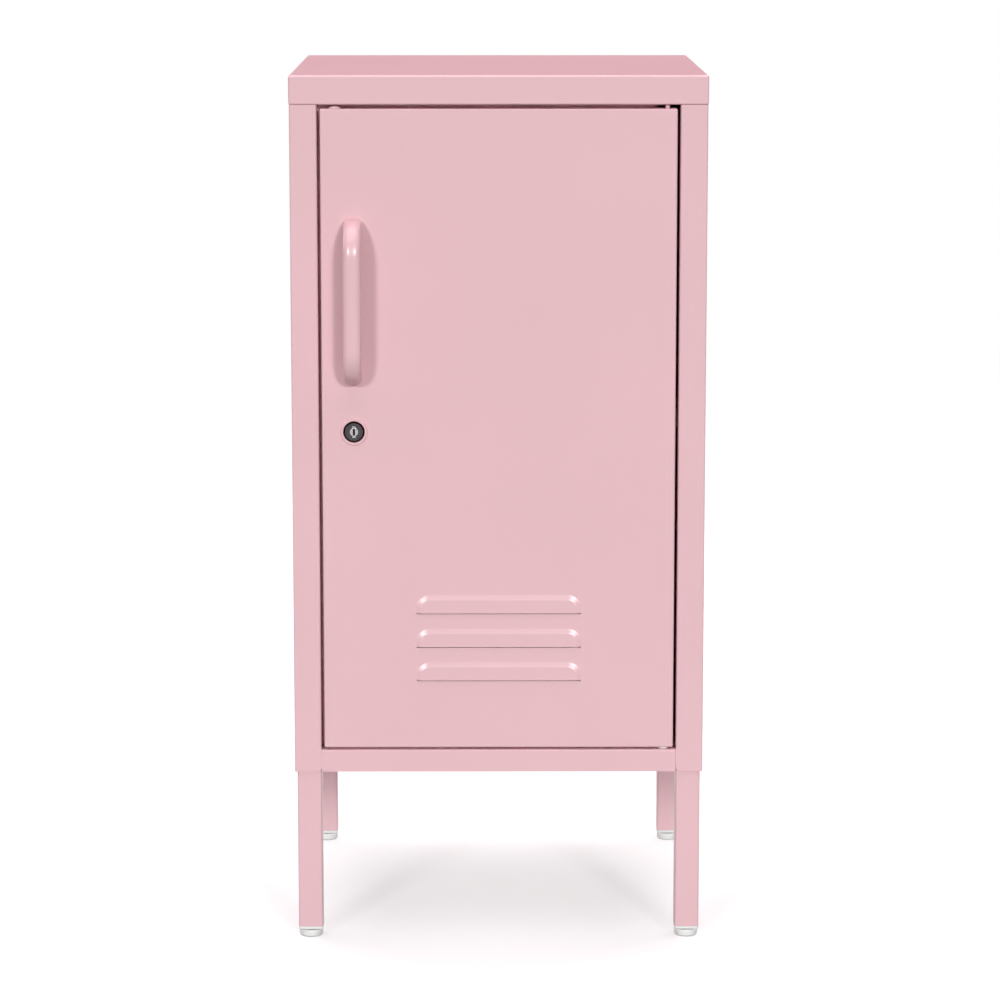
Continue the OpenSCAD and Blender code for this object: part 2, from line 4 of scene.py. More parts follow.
import bmesh
import bpy
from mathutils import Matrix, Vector


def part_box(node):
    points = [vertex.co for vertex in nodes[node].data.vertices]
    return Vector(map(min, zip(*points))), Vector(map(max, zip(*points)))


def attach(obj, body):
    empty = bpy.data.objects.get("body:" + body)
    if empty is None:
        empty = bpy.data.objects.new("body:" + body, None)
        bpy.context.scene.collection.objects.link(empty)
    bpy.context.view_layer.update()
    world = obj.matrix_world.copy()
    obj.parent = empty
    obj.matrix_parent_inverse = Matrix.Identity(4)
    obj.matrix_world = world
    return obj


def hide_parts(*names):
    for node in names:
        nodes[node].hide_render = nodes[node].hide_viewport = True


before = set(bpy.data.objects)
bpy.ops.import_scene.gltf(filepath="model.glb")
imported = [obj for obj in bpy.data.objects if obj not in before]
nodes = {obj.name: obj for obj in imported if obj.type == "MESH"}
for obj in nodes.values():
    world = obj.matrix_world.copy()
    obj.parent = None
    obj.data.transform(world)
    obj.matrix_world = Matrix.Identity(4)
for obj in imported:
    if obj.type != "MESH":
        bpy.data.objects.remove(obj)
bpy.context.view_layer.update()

MM = 0.001
LAP = 0.1                  # air between two sheets that lie on each other
GAP = 0.3                  # air between the posts and what stands between them


def mm_box(node):
    """Lowest and highest corner of a CAD node, in millimetres."""
    low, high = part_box(node)
    return low / MM, high / MM


# Sizes that the frame gives
cover_lo, cover_hi = mm_box("top_cover")
right_lo, right_hi = mm_box("right_side_panel")
bottom_lo, bottom_hi = mm_box("bottom_panel")
door_lo, door_hi = mm_box("door_panel")
shelf_lo, shelf_hi = mm_box("shelf")
handle_lo, handle_hi = mm_box("door_handle")
collar_lo, collar_hi = mm_box("lock_collar")
front_y = right_lo.y
back_y = right_hi.y
side_x = right_hi.x
post_x = right_lo.x
case_z = right_lo.z
panel_top = right_hi.z
floor_z = bottom_hi.z
cover_lo.z = panel_top + LAP      # the rim's lower edge; the lip behind the door hangs lower
lock_x = (collar_lo.x + collar_hi.x) / 2
lock_z = (collar_lo.z + collar_hi.z) / 2

# Sizes of the folded sheet
SHEET = 0.8
FOLD_R = 1.6               # outer radius of a bend
COVER_FOLD = 16.4          # width of the flange turned in below the cover's rim
DOOR_FOLD = 10             # width of the flange turned in behind the door's edges
POST_FOLD = 14             # depth of the right post's inner fold
STOP_W = 11                # width of the left post's stop lip
STOP_BACK = 16.3           # back of the stop lip behind the posts' face
STOP_BEND = 0.8            # radius of the stop lip's bend
POST_CORNER_R = 4          # of the posts' lower inner corners
POST_STEP = 1              # height above the cabinet's floor where a post's corner rows end
BACK_LIP = 0.4             # how much narrower the back flange is than the post
LIP_DROP = 12              # of the cover's lip behind the door's top edge
LIP_END = 9                # from the hinge pin to that lip's end

# Louvres, measured from each one's lower edge
LOUVRE_COUNT = 3
LOUVRE_W = 142
LOUVRE_H = 15.9
LOUVRE_PROUD = 1.5
LOUVRE_PITCH = 29.2
LOUVRE_Z = 228.3
LOUVRE_SLOPE = 4.6
LOUVRE_CORNER_R = 12.5
LOUVRE_EASE = 0.3          # share of the slope that is an S curve and not straight
SLIT = 0.8                 # height of the slot cut under each louvre
SLIT_INSET = 1             # from a louvre's end to its slot's end

# Lock
LOCK_HOLE = 5.6            # half the square opening in the door behind the lock's housing
SHADE_RING_FROM = 7.35         # distance from the axis where the painted shade round the face begins
SHADE_RING_TO = 7.65

# Handle
BAR_T = 9.5
BEND_R = 26
CROWN = 0.833              # 1 makes the bar's section an ellipse, less makes it squarer
BAR_POINTS = 48            # round the bar's section
BEND_STEPS = 20
FOOT_STEPS = 5

# Legs and feet
LEG_W = 21
LEG_WALL = 1.2
LEG_R = 2
PLATE_T = 1.9              # of the plate welded on a leg's upper end
PLATE_R = 3
PLUG_RIM = 2.6             # height of the part of a plug below its leg
PLUG_BORE_R = 4.05
INNER_R = 0.8              # of a leg's inside and a plug's shank
STUD_R = 4.0
STUD_PITCH = 1.25
STUD_DEPTH = 0.55
CORNERS = {
    "front_left": (-1, -1),
    "front_right": (1, -1),
    "rear_left": (-1, 1),
    "rear_right": (1, 1),
}


# ---------------------------------------------------------------- materials

class Nodes:
    """A small helper round one material's node tree."""

    def __init__(self, name):
        self.material = bpy.data.materials.new(name)
        self.material.use_nodes = True
        self.tree = self.material.node_tree
        self.shader = self.tree.nodes["Principled BSDF"]
        self.coords = self.add("ShaderNodeTexCoord")

    def add(self, kind, **values):
        node = self.tree.nodes.new(kind)
        for key, value in values.items():
            if key in node.inputs:
                node.inputs[key].default_value = value
            else:
                setattr(node, key, value)
        return node

    def link(self, source, target):
        self.tree.links.new(source, target)

    def noise(self, per_metre, detail=2.0, rough=0.5):
        node = self.add("ShaderNodeTexNoise", Scale=per_metre, Detail=detail, Roughness=rough)
        self.link(self.coords.outputs["Object"], node.inputs["Vector"])
        return node.outputs["Fac"]

    def ramp(self, source, low, high, start=0.35, end=0.65):
        """A colour or a value that follows a source, from low to high."""
        if isinstance(low, (int, float)):
            node = self.add("ShaderNodeMapRange")
            node.inputs["From Min"].default_value = start
            node.inputs["From Max"].default_value = end
            node.inputs["To Min"].default_value = low
            node.inputs["To Max"].default_value = high
            self.link(source, node.inputs["Value"])
            return node.outputs["Result"]
        node = self.add("ShaderNodeValToRGB")
        node.color_ramp.elements[0].position = start
        node.color_ramp.elements[0].color = (*low, 1)
        node.color_ramp.elements[1].position = end
        node.color_ramp.elements[1].color = (*high, 1)
        self.link(source, node.inputs["Fac"])
        return node.outputs["Color"]

    def bump(self, source, depth, below=None):
        node = self.add("ShaderNodeBump", Strength=1.0, Distance=depth)
        self.link(source, node.inputs["Height"])
        if below is not None:
            self.link(below, node.inputs["Normal"])
        return node.outputs["Normal"]

    def set(self, **values):
        """Sets or links the shader's sockets, named with _ for each space."""
        for key, value in values.items():
            socket = self.shader.inputs[key.replace("_", " ")]
            if isinstance(value, bpy.types.NodeSocket):
                self.link(value, socket)
            else:
                socket.default_value = value


def tint(colour, share):
    return tuple(min(1.0, c * share) for c in colour)


def powder_coat():
    """Pale pink powder coat: even colour, satin gloss, a faint orange peel."""
    m = Nodes("pink_powder_coat")
    pink = (0.850, 0.530, 0.570)
    clouds = m.noise(5, detail=3)
    specks = m.noise(1400, detail=1)
    peel = m.noise(420, detail=2, rough=0.4)
    m.set(
        Base_Color=m.ramp(clouds, tint(pink, 0.985), tint(pink, 1.015)),
        Roughness=m.ramp(specks, 0.30, 0.34),
        Normal=m.bump(specks, 0.000006, below=m.bump(peel, 0.00003)),
        IOR=1.5,
        Specular_IOR_Level=1.0,
    )
    return m.material


def zinc():
    """Bright zinc plate with a faint cloudy passivation."""
    m = Nodes("zinc_plate")
    base = (0.62, 0.63, 0.65)
    m.set(
        Base_Color=m.ramp(m.noise(160, detail=4), tint(base, 0.86), tint(base, 1.08)),
        Metallic=1.0,
        Roughness=m.ramp(m.noise(900, detail=3), 0.30, 0.46),
        Normal=m.bump(m.noise(2500), 0.00001),
    )
    return m.material


def cast_lock_metal():
    """Dark cast lock metal with a fine pitted grain, and a ring of painted shade round the face."""
    m = Nodes("dark_cast_metal")
    base = (0.050, 0.047, 0.049)
    grain = m.noise(2600, detail=3, rough=0.7)
    # Painted shade: the ring round the face, where the collar's wall would shade it, is painted near-black
    # and glossless; it is found by its distance from the lock's axis
    offset = m.add("ShaderNodeVectorMath", operation="SUBTRACT")
    offset.inputs[1].default_value = (lock_x * MM, 0, lock_z * MM)
    m.link(m.coords.outputs["Object"], offset.inputs[0])
    flat = m.add("ShaderNodeVectorMath", operation="MULTIPLY")
    flat.inputs[1].default_value = (1, 0, 1)
    m.link(offset.outputs["Vector"], flat.inputs[0])
    radius = m.add("ShaderNodeVectorMath", operation="LENGTH")
    m.link(flat.outputs["Vector"], radius.inputs[0])
    painted_shade_ring = m.ramp(radius.outputs["Value"], 0.0, 1.0, SHADE_RING_FROM * MM, SHADE_RING_TO * MM)
    shade_mix = m.add("ShaderNodeMix", data_type="RGBA")
    m.link(painted_shade_ring, shade_mix.inputs["Factor"])
    m.link(m.ramp(grain, tint(base, 0.55), tint(base, 1.7), 0.38, 0.66), shade_mix.inputs[6])
    # near-black maroon of the painted shade in the ring
    shade_mix.inputs[7].default_value = (0.020, 0.004, 0.007, 1)
    m.set(
        Base_Color=shade_mix.outputs[2],
        # full Metallic on the near-black colour takes the gloss out of the painted shade ring
        Metallic=m.ramp(painted_shade_ring, 0.25, 1.0, 0.0, 1.0),
        Roughness=m.ramp(m.noise(1800), 0.38, 0.60),
        Normal=m.bump(grain, 0.00010),
    )
    return m.material


def bright_insert():
    """Bright nickel round the key slot."""
    m = Nodes("bright_nickel")
    base = (0.46, 0.45, 0.46)
    m.set(
        Base_Color=m.ramp(m.noise(700, detail=3), tint(base, 0.90), tint(base, 1.05)),
        Metallic=1.0,
        Roughness=m.ramp(m.noise(1500), 0.22, 0.34),
        Normal=m.bump(m.noise(3200), 0.00002),
    )
    return m.material


def nylon(name="white_nylon", base=(0.97, 0.965, 0.95)):
    """Moulded plastic: soft gloss, slight depth, a fine moulded grain."""
    m = Nodes(name)
    m.set(
        Base_Color=m.ramp(m.noise(60, detail=3), tint(base, 0.97), tint(base, 1.02)),
        Roughness=m.ramp(m.noise(900), 0.38, 0.50),
        Normal=m.bump(m.noise(1500), 0.00001),
        Subsurface_Weight=0.15,
        Subsurface_Scale=0.002,
        Subsurface_Radius=(1.0, 0.9, 0.85),
    )
    return m.material


PAINT = powder_coat()
ZINC = zinc()
CAST = cast_lock_metal()
BRIGHT = bright_insert()
NYLON = nylon()
BUFFER = nylon("pale_pink_plastic", (0.95, 0.76, 0.79))


# ---------------------------------------------------------------- mesh tools

class Surface:
    """Faces over shared points, in millimetres."""

    def __init__(self):
        self.points = []
        self.faces = []
        self.known = {}

    def point(self, p):
        key = tuple(round(c, 4) for c in p)
        if key not in self.known:
            self.known[key] = len(self.points)
            self.points.append(key)
        return self.known[key]

    def face(self, corners):
        ids = []
        for p in corners:
            i = self.point(p)
            if i not in ids:
                ids.append(i)
        if len(ids) > 2:
            self.faces.append(ids)

    def strip(self, row_a, row_b):
        """Quads between two rows of points."""
        for (a0, a1), (b0, b1) in zip(zip(row_a, row_a[1:]), zip(row_b, row_b[1:])):
            self.face([a0, a1, b1, b0])

    def rows(self, rows):
        for a, b in zip(rows, rows[1:]):
            self.strip(a, b)

    def rings(self, rings):
        """Quads between closed rings that follow each other."""
        self.rows([ring + ring[:1] for ring in rings])

    def mesh(self, name):
        mesh = bpy.data.meshes.new(name)
        mesh.from_pydata([[c * MM for c in p] for p in self.points], [], self.faces)
        mesh.validate()
        mesh.update()
        return mesh


def piece(name, surface, material, body, slot, replaces=(), thickness=0.0, sharp=38, outward=False):
    """Makes a piece from a surface or a mesh, thickens sheet inwards, and puts the piece on its body."""
    mesh = surface.mesh(name) if isinstance(surface, Surface) else surface
    if outward:
        bm = bmesh.new()
        bm.from_mesh(mesh)
        bmesh.ops.recalc_face_normals(bm, faces=bm.faces)
        bm.to_mesh(mesh)
        bm.free()
    made = bpy.data.objects.new(name, mesh)
    bpy.context.scene.collection.objects.link(made)
    if thickness:
        solid = made.modifiers.new("sheet", "SOLIDIFY")
        solid.thickness = thickness * MM
        solid.offset = -1
        solid.use_even_offset = True
        solid.use_quality_normals = True
        graph = bpy.context.evaluated_depsgraph_get()
        thick = bpy.data.meshes.new_from_object(made.evaluated_get(graph))
        made.modifiers.clear()
        made.data = thick
        thick.name = name
    shade(made, sharp)
    made.data.materials.clear()
    made.data.materials.append(material)
    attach(made, body)
    if replaces:
        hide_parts(*replaces)


def shade(made, sharp):
    """Smooth shading that stays flat on flat faces and breaks at corners sharper than the angle."""
    for polygon in made.data.polygons:
        polygon.use_smooth = True
    made.data.set_sharp_from_angle(angle=math.radians(sharp))
    normals = made.modifiers.new("even_normals", "WEIGHTED_NORMAL")
    normals.keep_sharp = True
    normals.weight = 100


def arc(cx, cy, r, start, end, steps=6):
    """Points of an arc, in degrees."""
    return [
        (cx + r * math.cos(math.radians(a)), cy + r * math.sin(math.radians(a)))
        for a in (start + (end - start) * i / steps for i in range(steps + 1))
    ]


def stops(low, high, r, extra=(), steps=4):
    """Grid lines along one side of a rounded box, spaced so that its round edges come out even."""
    ring = [r * math.tan(math.radians(45 * i / steps)) for i in range(steps + 1)]
    middle = sorted(e for e in extra if low + r + 0.01 < e < high - r - 0.01)
    return [low + r - d for d in reversed(ring)] + middle + [high - r + d for d in ring]


def rounded_box(surface, low, high, r, lines, keep=None, shift=None):
    """The outside of a box with round edges. keep says which faces stay; shift moves points."""
    for axis in range(3):
        u_axis, v_axis = (axis + 1) % 3, (axis + 2) % 3
        for side in (0, 1):
            def at(u, v):
                p = [0.0, 0.0, 0.0]
                p[axis] = high[axis] if side else low[axis]
                p[u_axis], p[v_axis] = u, v
                c = [min(max(p[i], low[i] + r), high[i] - r) for i in range(3)]
                d = [p[i] - c[i] for i in range(3)]
                length = math.sqrt(sum(x * x for x in d))
                p = [c[i] + r * d[i] / length for i in range(3)]
                return shift(axis, side, p) if shift else p

            us, vs = lines[u_axis], lines[v_axis]
            for u0, u1 in zip(us, us[1:]):
                for v0, v1 in zip(vs, vs[1:]):
                    centre = [0.0, 0.0, 0.0]
                    centre[axis] = high[axis] if side else low[axis]
                    centre[u_axis], centre[v_axis] = (u0 + u1) / 2, (v0 + v1) / 2
                    if keep and not keep(axis, side, centre):
                        continue
                    corners = [at(u0, v0), at(u1, v0), at(u1, v1), at(u0, v1)]
                    surface.face(corners if side else corners[::-1])


def spin(surface, outline, place, steps=64):
    """Turns an outline of (radius, height) points; place puts (x, y, height) in the frame."""
    def ring(r, h):
        return [
            place(r * math.cos(2 * math.pi * i / steps), r * math.sin(2 * math.pi * i / steps), h)
            for i in range(steps)
        ]

    surface.rings([ring(r, h) for r, h in outline])


def loft(surface, rings):
    """Skins closed rings of points one after another and closes both ends."""
    surface.rings(rings)
    surface.face(rings[0][::-1])
    surface.face(rings[-1])


def rounded_rectangle(x0, y0, x1, y1, r, steps):
    """Outline of a rectangle with round corners."""
    return (
        arc(x1 - r, y1 - r, r, 0, 90, steps) + arc(x0 + r, y1 - r, r, 90, 180, steps)
        + arc(x0 + r, y0 + r, r, 180, 270, steps) + arc(x1 - r, y0 + r, r, 270, 360, steps)
    )


def square_ring(cx, cy, z, half, r):
    """A level ring of a square with round corners, about a point."""
    return [(cx + x, cy + y, z) for x, y in rounded_rectangle(-half, -half, half, half, r, 5)]


def softened(node, name, material, body, slot, width, steps=2, sharp=30):
    """A copy of a CAD part's mesh whose sharp edges are rounded over, standing for that part."""
    bm = bmesh.new()
    bm.from_mesh(nodes[node].data)
    bmesh.ops.remove_doubles(bm, verts=bm.verts, dist=0.00001)
    bmesh.ops.dissolve_limit(
        bm, angle_limit=math.radians(1), verts=bm.verts, edges=bm.edges, delimit={"NORMAL"}
    )
    limit = math.radians(sharp)
    edges = [e for e in bm.edges if len(e.link_faces) == 2 and e.calc_face_angle(0) > limit]
    bmesh.ops.bevel(
        bm, geom=edges, offset=width * MM, offset_type="OFFSET", segments=steps, profile=0.5,
        affect="EDGES", clamp_overlap=True,
    )
    bmesh.ops.triangulate(bm, faces=[f for f in bm.faces if len(f.verts) > 4])
    mesh = bpy.data.meshes.new(name)
    bm.to_mesh(mesh)
    bm.free()
    piece(name, mesh, material, body, slot, [node], sharp=40)


# ---------------------------------------------------------------- case

def top_cover():
    low, high = cover_lo, cover_hi
    inner = [
        (low.x + COVER_FOLD, high.x - COVER_FOLD),
        (low.y + COVER_FOLD, high.y - COVER_FOLD),
    ]
    lines = [
        stops(low.x, high.x, FOLD_R, inner[0]),
        stops(low.y, high.y, FOLD_R, inner[1]),
        stops(low.z, high.z, FOLD_R),
    ]

    def keep(axis, side, c):
        inside = inner[0][0] < c[0] < inner[0][1] and inner[1][0] < c[1] < inner[1][1]
        return not (axis == 2 and side == 0 and inside)

    s = Surface()
    rounded_box(s, low, high, FOLD_R, lines, keep)
    piece("top_cover_shell", s, PAINT, "cabinet", "body_paint", ["top_cover"], SHEET)
    # The lip that hangs behind the door's top edge and stops short of the hinge
    pin_lo, pin_hi = mm_box("upper_hinge_pin")
    x0, x1 = STOP_W + GAP - post_x, (pin_lo.x + pin_hi.x) / 2 - LIP_END
    y0, y1 = front_y + STOP_BACK - SHEET, front_y + STOP_BACK
    z0, z1 = low.z - LIP_DROP, low.z + SHEET
    outline = rounded_rectangle(y0, z0, y1, z1, 0.25, 2)
    lip = Surface()
    loft(lip, [[(x, y, z) for y, z in outline] for x in (x0, x1)])
    piece("top_cover_door_lip", lip, PAINT, "cabinet", "body_paint", outward=True)


def side_panel(side):
    """One side with its front post, back flange and top flange; side is -1 for the left one."""
    inner = post_x
    r = FOLD_R
    corner_x = inner + POST_CORNER_R
    # Drawn for the right side, from the fold's free end, round the post and the side, to the back
    if side < 0:
        stop_y = front_y + STOP_BACK - SHEET
        start = [(inner - STOP_W, stop_y)]
        start += arc(inner - STOP_BEND, stop_y - STOP_BEND, STOP_BEND, 90, 0, 4)
    else:
        start = [(inner, front_y + POST_FOLD)]
    post = arc(inner + r, front_y + r, r, 180, 270)
    outer = arc(side_x - r, front_y + r, r, -90, 0) + arc(side_x - r, back_y - r, r, 0, 90)
    outer += [(inner + BACK_LIP, back_y)]
    section = start + post + outer
    low_section = [(corner_x + x, front_y) for x, _ in arc(0, 0, POST_CORNER_R, 180, 90)] + outer

    def lower_edge(x, y):
        """Height of the case's lower edge, lifted round the post's inner corner."""
        d = corner_x - x
        if y > front_y + 0.01 or d <= 0:
            return case_z
        return case_z + (POST_CORNER_R - math.sqrt(max(0, POST_CORNER_R ** 2 - d * d)))

    def row(points, z):
        return [(side * x, y, z) for x, y in points]

    s = Surface()
    step_z = floor_z + POST_STEP
    upper = [row(section, step_z), row(section, panel_top)]
    lower = [[(side * x, y, lower_edge(x, y)) for x, y in low_section], row(low_section, step_z)]
    for rows in (lower, upper):
        s.rows(rows if side > 0 else [r[::-1] for r in rows])
    hand = "left" if side < 0 else "right"
    piece(f"{hand}_side_shell", s, PAINT, "cabinet", "body_paint", [f"{hand}_side_panel"], SHEET)
    flange = Surface()
    half_x, half_y = (side_x - inner) / 2 - SHEET, (back_y - front_y) / 2 - SHEET
    cx, cy = side * (side_x + inner) / 2, (front_y + back_y) / 2
    corners = ((-1, -1), (1, -1), (1, 1), (-1, 1))
    loft(flange, [
        [(cx + i * half_x, cy + j * half_y, z) for i, j in corners]
        for z in (panel_top - SHEET, panel_top)
    ])
    piece(f"{hand}_side_top_flange", flange, PAINT, "cabinet", "body_paint", outward=True)


def bottom_panel():
    low, high = bottom_lo, bottom_hi
    r = FOLD_R
    sill_x = post_x - GAP
    s = Surface()
    # Sill, floor and back flange in one fold
    fold = (
        [(front_y, low.z)] + arc(front_y + r, high.z - r, r, 180, 90)
        + arc(back_y - r, high.z - r, r, 90, 0) + [(back_y, low.z)]
    )
    edge_strip = 1.6
    xs = [-sill_x, -sill_x + edge_strip, sill_x - edge_strip, sill_x]
    s.rows([[(x, y, z) for y, z in fold] for x in xs][::-1])
    piece("bottom_sill_shell", s, PAINT, "cabinet", "body_paint", ["bottom_panel"], SHEET)
    # Side flanges between the side panels
    tuck = 1.0
    for side in (-1, 1):
        wing = Surface()
        edge = [(sill_x, high.z)] + arc(high.x - r, high.z - r, r, 90, 0) + [(high.x, low.z)]
        rows = [[(side * x, y, z) for x, z in edge] for y in (front_y + tuck, back_y - tuck)]
        wing.rows(rows[::-1] if side < 0 else rows)
        hand = "left" if side < 0 else "right"
        piece(f"bottom_wing_{hand}", wing, PAINT, "cabinet", "body_paint", (), SHEET)


def shelf():
    low, high = shelf_lo, shelf_hi
    r = FOLD_R
    lip = 10
    flange_in = 16
    fold = [(low.y + lip, low.z)]
    fold += arc(low.y + r, low.z + r, r, 270, 180) + arc(low.y + r, high.z - r, r, 180, 90)
    fold += arc(high.y - r, high.z - r, r, 90, 0) + arc(high.y - r, low.z + r, r, 0, -90)
    fold += [(high.y - lip, low.z)]
    top = [p for p in fold if p[1] > high.z - 0.01]
    s = Surface()
    xs = [low.x + flange_in, high.x - flange_in]
    s.rows([[(x, y, z) for y, z in fold] for x in xs][::-1])
    for a, b in ((low.x, low.x + flange_in), (high.x - flange_in, high.x)):
        s.rows([[(x, y, z) for y, z in top] for x in (a, b)][::-1])
    piece("shelf_shell", s, PAINT, "cabinet", "body_paint", ["shelf"], SHEET)


# ---------------------------------------------------------------- door

def louvre_rise(x, z):
    """How far the door's face stands out at a point, over all louvres."""
    above = (z - LOUVRE_Z) % LOUVRE_PITCH
    inside = LOUVRE_Z - 0.001 < z < LOUVRE_Z + LOUVRE_PITCH * (LOUVRE_COUNT - 1) + LOUVRE_H
    if abs(above - LOUVRE_PITCH) < 0.001:
        above = 0.0
    dx, dz = LOUVRE_W / 2 - abs(x), LOUVRE_H - above
    if not inside or dx <= 0 or dz <= 0:
        return 0.0
    r = LOUVRE_CORNER_R
    d = r - math.hypot(r - dx, r - dz) if dx < r and dz < r else min(dx, dz)
    t = min(max(d / LOUVRE_SLOPE, 0.0), 1.0)
    return LOUVRE_PROUD * (t * t * (3 - 2 * t) * LOUVRE_EASE + t * (1 - LOUVRE_EASE))


def spread(low, high, step):
    """Evenly spaced values from low to high, about a step apart."""
    count = max(1, round((high - low) / step))
    return [low + (high - low) * i / count for i in range(count + 1)]


def door():
    low = Vector((door_lo.x, front_y, door_lo.z))
    high = door_hi
    half = LOUVRE_W / 2
    # Grid lines lie close over the louvres' ends and further apart between them
    close = half - 12
    xs = spread(-half, -close, 0.8)[:-1] + spread(-close, close, 2.4) + spread(close, half, 0.8)[1:]
    feet = [LOUVRE_Z + i * LOUVRE_PITCH for i in range(LOUVRE_COUNT)]
    zs = []
    for z in feet:
        zs += [z - SLIT] + spread(z, z + LOUVRE_H, 0.6)
    inner_x = (low.x + DOOR_FOLD, high.x - DOOR_FOLD)
    inner_z = (low.z + DOOR_FOLD, high.z - DOOR_FOLD)
    lines = [
        stops(low.x, high.x, FOLD_R, xs + [lock_x - LOCK_HOLE, lock_x + LOCK_HOLE] + list(inner_x)),
        stops(low.y, high.y, FOLD_R),
        stops(low.z, high.z, FOLD_R, zs + [lock_z - LOCK_HOLE, lock_z + LOCK_HOLE] + list(inner_z)),
    ]

    def keep(axis, side, c):
        if axis != 1:
            return True
        if side == 1:
            return not (inner_x[0] < c[0] < inner_x[1] and inner_z[0] < c[2] < inner_z[1])
        slit = any(z - SLIT < c[2] < z for z in feet) and abs(c[0]) < half - SLIT_INSET
        hole = abs(c[0] - lock_x) < LOCK_HOLE and abs(c[2] - lock_z) < LOCK_HOLE
        return not (hole or slit)

    def shift(axis, side, p):
        if axis == 1 and side == 0:
            return [p[0], p[1] - louvre_rise(p[0], p[2]), p[2]]
        return p

    s = Surface()
    rounded_box(s, low, high, FOLD_R, lines, keep, shift)
    piece("door_shell", s, PAINT, "door", "body_paint", ["door_panel"], SHEET)


def crowned(x):
    """Pushes a sine or cosine outwards, so that an ellipse becomes a flat bar with round edges."""
    return math.copysign(abs(x) ** CROWN, x)


def handle():
    """Bow handle of a flattened bar with round edges, bent at both ends."""
    x = (handle_lo.x + handle_hi.x) / 2
    half_w = (handle_hi.x - handle_lo.x) / 2
    mid_z = (handle_lo.z + handle_hi.z) / 2
    foot_half = (handle_hi.z - handle_lo.z) / 2 - BAR_T / 2
    out = front_y - handle_lo.y - BAR_T / 2
    # The section: width across the door and thickness along the bend's radius
    section = [
        (half_w * crowned(math.cos(a)), BAR_T / 2 * crowned(math.sin(a)))
        for a in (2 * math.pi * i / BAR_POINTS for i in range(BAR_POINTS))
    ]
    # Stations from the foot to the end of the bend: reach from the door, height and the bend's angle.
    # The foot's straight part starts just off the door, where the ring on the door is a little smaller.
    foot_gap, foot_share = 0.15, 0.985
    stations = [
        (foot_gap + (out - BEND_R) * i / FOOT_STEPS, foot_half, 0.0) for i in range(FOOT_STEPS)
    ]
    for i in range(BEND_STEPS + 1):
        a = math.pi / 2 * i / BEND_STEPS
        reach = out - BEND_R + BEND_R * math.sin(a)
        stations.append((reach, foot_half - BEND_R + BEND_R * math.cos(a), a))

    def ring(reach, z, angle, sign):
        """The section at a station, its thickness pointing away from the bend's centre."""
        outward, along = math.sin(angle), math.cos(angle)
        return [
            (x + a, front_y - (reach + b * outward), mid_z + sign * (z + b * along))
            for a, b in section
        ]

    def foot_ring(sign):
        return [
            (x + a * foot_share, front_y, mid_z + sign * (foot_half + b * foot_share))
            for a, b in section
        ]

    upper = [foot_ring(1)] + [ring(*station, 1) for station in stations]
    lower = [ring(*station, -1) for station in reversed(stations)] + [foot_ring(-1)]
    s = Surface()
    loft(s, upper + lower)
    piece("bow_handle", s, PAINT, "door", "body_paint", ["door_handle"], outward=True)


# ---------------------------------------------------------------- legs and feet

def leg(corner, sx, sy):
    low, high = mm_box(f"leg_{corner}")
    outer_x = low.x if sx < 0 else high.x
    outer_y = low.y if sy < 0 else high.y
    cx = outer_x - sx * LEG_W / 2
    cy = outer_y - sy * LEG_W / 2
    plate_z = high.z - PLATE_T
    half = LEG_W / 2
    outside = [
        square_ring(cx, cy, z, half - inset, LEG_R - inset)
        for inset, z in ((0.25, low.z), (0.0, low.z + 0.25), (0.0, plate_z))
    ]
    inside = [square_ring(cx, cy, z, half - LEG_WALL, INNER_R) for z in (plate_z, low.z)]
    s = Surface()
    s.rings(outside + inside + outside[:1])
    piece(f"leg_tube_{corner}", s, PAINT, "cabinet", "body_paint", [f"leg_{corner}"], outward=True)
    plate = Surface()
    px, py = (low.x + high.x) / 2, (low.y + high.y) / 2
    half = (high.x - low.x) / 2
    loft(plate, [
        square_ring(px, py, z, half - inset, PLATE_R - inset)
        for inset, z in ((0.2, plate_z), (0, plate_z + 0.2), (0, high.z - 0.2), (0.2, high.z))
    ])
    piece(f"leg_plate_{corner}", plate, PAINT, "cabinet", "body_paint", outward=True)


